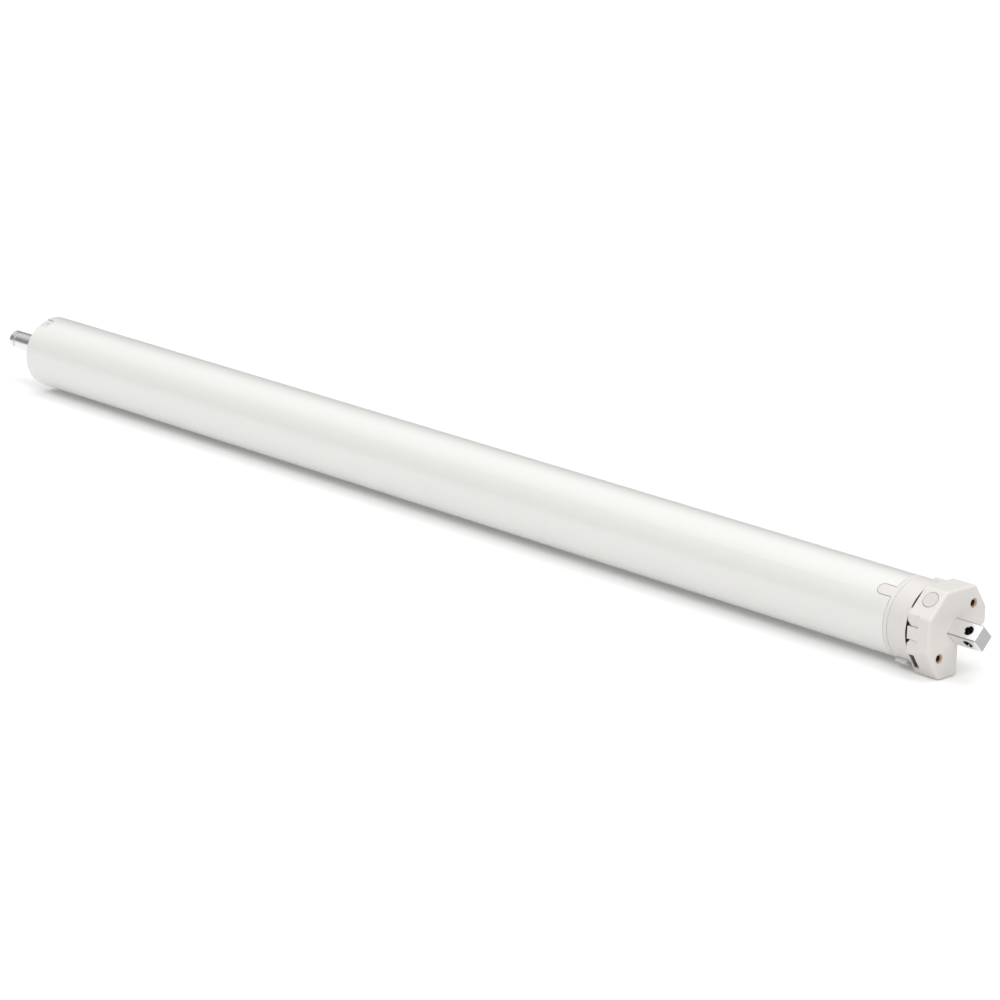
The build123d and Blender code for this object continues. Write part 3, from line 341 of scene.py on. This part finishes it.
def dress_outside():
    powder_white().dress("housing_tube")
    head_ivory().dress("head_body")
    moulded_white("collar_ivory", IVORY, IVORY_ROUGHNESS).dress("collar")
    crown_ivory().dress("crown")
    moulded_white("button_ivory", (0.72, 0.685, 0.67), 0.38).dress("push_button")
    pin_chrome().dress("square_pin")
    turned_steel("shaft_steel", (0.80, 0.80, 0.81), 0.32).dress("output_shaft")
    insert_brass().dress("face_inserts")
    moulded("cap_grey", (0.72, 0.72, 0.71), 0.45).dress("output_cap")
    moulded("seal_black", (0.02, 0.02, 0.02), 0.6).dress("shaft_seal", "rubber_mounts")
    plated("port_tin", (0.7, 0.7, 0.7), 0.25).dress("charge_port")


def dress_inside():
    steel = turned_steel("machined_steel", (0.56, 0.57, 0.58), 0.3)
    steel.dress("pin_retainer_plate", "motor_bearings", "motor_shaft", "motor_plate", "rotor_core",
                *[f"stage_{s}_{part}" for s in (1, 2) for part in ("pins", "carrier", "sun")])
    zinc = plated("screw_zinc", (0.42, 0.42, 0.44), 0.3)
    zinc.dress("spigot_screws", "retainer_screws", "board_screws", "motor_screws", "gearbox_screws")
    nylon = moulded("gear_nylon", (0.78, 0.75, 0.66), 0.45)
    nylon.dress("ring_gear", *[f"stage_{s}_planet_{c}" for s in (1, 2) for c in "abc"])
    turned_steel("motor_zinc", (0.6, 0.6, 0.61), 0.35).dress("motor_can", "motor_end_bell")
    layered_steel().dress("stator_core")
    wound_copper().dress("stator_windings")
    plated("magnet_nickel", (0.35, 0.35, 0.36), 0.25).dress("rotor_magnets")
    turned_steel("bush_bronze", (0.55, 0.35, 0.17), 0.45).dress("output_bushes")
    board_green().dress("control_board", "hall_sensor_board")
    moulded("tray_black", (0.04, 0.04, 0.042), 0.5).dress("board_tray", "cell_spacers")
    chips = moulded("chip_black", (0.025, 0.025, 0.028), 0.45)
    chips.dress("motor_driver_chips", "tact_switch", "charge_inductor")
    moulded("plunger_black", (0.03, 0.03, 0.03), 0.4).dress("switch_plunger")
    plated("shield_tin", (0.65, 0.65, 0.66), 0.3).dress("radio_module")
    plated("capacitor_can", (0.68, 0.68, 0.7), 0.2).dress("power_capacitors")
    moulded("plug_white", (0.75, 0.74, 0.68), 0.5).dress("harness_connectors")
    moulded("cell_wrap", (0.05, 0.16, 0.38), 0.3).dress("battery_cells")
    plated("link_nickel", (0.7, 0.68, 0.62), 0.25).dress("cell_links")
    moulded("lead_red", (0.40, 0.03, 0.02), 0.45).dress("head_leads", "wire_harness")


def layered_steel():
    """The edges of stacked sheets, half a millimetre each, square to the axis."""
    finish = Finish("layered_steel", (0.28, 0.28, 0.29), 0.4, metallic=1.0)
    sheets = finish.add("ShaderNodeTexWave", {"bands_direction": "X"}, {
        "Vector": finish.place, "Scale": 100.0, "Distortion": 0.0})
    finish.bump(Value(finish, sheets.outputs["Fac"]), 0.00006)
    return finish


def wound_copper():
    """Enamelled wire laid side by side along the coils."""
    finish = Finish("wound_copper", (0.48, 0.16, 0.06), 0.3, metallic=0.8, coat=0.6)
    turns = finish.add("ShaderNodeTexWave", {"bands_direction": "DIAGONAL"}, {
        "Vector": finish.place, "Scale": 260.0, "Distortion": 0.4})
    finish.bump(Value(finish, turns.outputs["Fac"]), 0.0001)
    return finish


def board_green():
    """Solder mask with paler tracks under it."""
    finish = Finish("board_green", (0.012, 0.10, 0.045), 0.3, coat=0.4)
    cells = finish.add("ShaderNodeTexVoronoi", {"feature": "DISTANCE_TO_EDGE", "distance": "EUCLIDEAN"}, {
        "Vector": finish.place, "Scale": 300.0})
    finish.vary_colour(Value(finish, cells.outputs["Distance"]) < 0.06, (0.03, 0.19, 0.08))
    return finish


def insert_threads():
    """The thread inside each brass insert: V-shaped ridges round the bore."""
    bm = bmesh.new()
    for angle in INSERT_ANGLES:
        turn = radians(angle)
        centre = Vector((0, INSERT_PITCH_R * cos(turn), INSERT_PITCH_R * sin(turn)))
        points = []
        for k in range(THREAD_TURNS):
            x = INSERT_FACE_X - k * THREAD_PITCH
            points += [(x, INSERT_BORE_R), (x - THREAD_PITCH / 2, INSERT_BORE_R - THREAD_DEPTH)]
        points.append((INSERT_FACE_X - THREAD_TURNS * THREAD_PITCH, INSERT_BORE_R))
        profile = [bm.verts.new(centre + Vector((x, r, 0))) for x, r in points]
        edges = [bm.edges.new(pair) for pair in zip(profile, profile[1:])]
        bmesh.ops.spin(bm, geom=profile + edges, cent=centre, axis=(1, 0, 0), angle=tau,
                       steps=THREAD_SEGMENTS, use_merge=True)
    bmesh.ops.remove_doubles(bm, verts=bm.verts, dist=1e-7)
    bmesh.ops.recalc_face_normals(bm, faces=bm.faces)
    bmesh.ops.reverse_faces(bm, faces=bm.faces)
    return piece("insert_threads", bm, "face_inserts", "housing")


def piece(name, bm, like, body):
    """A new piece from a bmesh, with the material of the node it belongs to."""
    mesh = bpy.data.meshes.new(name)
    bm.to_mesh(mesh)
    bm.free()
    made = bpy.data.objects.new(name, mesh)
    bpy.context.scene.collection.objects.link(made)
    mesh.materials.append(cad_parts[like].data.materials[0])
    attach(made, body)
    return made


def floor():
    """A white floor that shows pure white to the camera where nothing shades it."""
    bm = bmesh.new()
    bmesh.ops.create_grid(bm, x_segments=1, y_segments=1, size=FLOOR_SIZE / 2)
    bmesh.ops.translate(bm, verts=bm.verts, vec=(0, 0, FLOOR_Z))
    mesh = bpy.data.meshes.new("floor")
    bm.to_mesh(mesh)
    bm.free()
    plane = bpy.data.objects.new("floor", mesh)
    bpy.context.scene.collection.objects.link(plane)
    finish = Finish("floor_white", (0.9, 0.9, 0.9), 1.0)
    finish.shader.inputs["Specular IOR Level"].default_value = 0.0
    tree = finish.tree
    rays = finish.add("ShaderNodeLightPath")
    seen = Value(finish, rays.outputs["Is Camera Ray"]) + Value(finish, rays.outputs["Is Glossy Ray"])
    seen = seen + Value(finish, rays.outputs["Is Transmission Ray"])
    glow = finish.add("ShaderNodeEmission", {}, {"Color": WHITE, "Strength": FLOOR_GLOW})
    lit = finish.add("ShaderNodeAddShader", {}, {0: finish.shader.outputs[0], 1: glow.outputs[0]})
    shown = finish.add("ShaderNodeMixShader", {}, {0: seen, 1: finish.shader.outputs[0], 2: lit.outputs[0]})
    tree.links.new(shown.outputs[0], tree.nodes["Material Output"].inputs["Surface"])
    mesh.materials.append(finish.material)


def broad_sun(name, way, width, strength):
    data = bpy.data.lights.new(name, "SUN")
    data.angle = radians(width)
    data.energy = strength
    lamp = bpy.data.objects.new(name, data)
    lamp.rotation_euler = Vector(way).to_track_quat("Z", "Y").to_euler()
    bpy.context.scene.collection.objects.link(lamp)


def studio_sky():
    """A pale room that is darkest near the horizon, and white where the camera sees it."""
    world = bpy.data.worlds.new("studio")
    world.use_nodes = True
    tree = world.node_tree
    room = tree.nodes["Background"]
    way = tree.nodes.new("ShaderNodeTexCoord")
    split = tree.nodes.new("ShaderNodeSeparateXYZ")
    ramp = tree.nodes.new("ShaderNodeValToRGB")
    room.inputs["Strength"].default_value = SKY_STRENGTH
    for spare in SKY[2:]:
        ramp.color_ramp.elements.new(0.5)
    for stop, (height, grey) in zip(ramp.color_ramp.elements, SKY):
        stop.position = height
        stop.color = (grey, grey, grey, 1.0)
    white = tree.nodes.new("ShaderNodeBackground")
    white.inputs["Color"].default_value = WHITE
    rays = tree.nodes.new("ShaderNodeLightPath")
    shown = tree.nodes.new("ShaderNodeMixShader")
    tree.links.new(way.outputs["Generated"], split.inputs[0])
    tree.links.new(split.outputs["Z"], ramp.inputs["Fac"])
    tree.links.new(ramp.outputs["Color"], room.inputs["Color"])
    tree.links.new(rays.outputs["Is Camera Ray"], shown.inputs[0])
    tree.links.new(room.outputs[0], shown.inputs[1])
    tree.links.new(white.outputs[0], shown.inputs[2])
    tree.links.new(shown.outputs[0], tree.nodes["World Output"].inputs["Surface"])
    bpy.context.scene.world = world


def studio_light():
    studio_sky()
    for name, (way, width, strength) in SUNS.items():
        broad_sun(name, way, width, strength)


def photograph_camera():
    back = CAMERA_RIGHT.cross(CAMERA_UP).normalized()
    up = back.cross(CAMERA_RIGHT).normalized()
    turn = Matrix((CAMERA_RIGHT.normalized(), up, back)).transposed().to_4x4()
    data = bpy.data.cameras.new("photograph")
    data.lens = CAMERA_LENS
    data.sensor_width = SENSOR_WIDTH
    data.sensor_fit = "HORIZONTAL"
    camera = bpy.data.objects.new("photograph", data)
    camera.matrix_world = Matrix.Translation(CAMERA_PLACE) @ turn
    bpy.context.scene.collection.objects.link(camera)
    bpy.context.scene.camera = camera


dress_outside()
dress_inside()
insert_threads()
floor()
studio_light()
photograph_camera()
bpy.context.scene.view_settings.view_transform = "Standard"

bpy.context.view_layer.update()
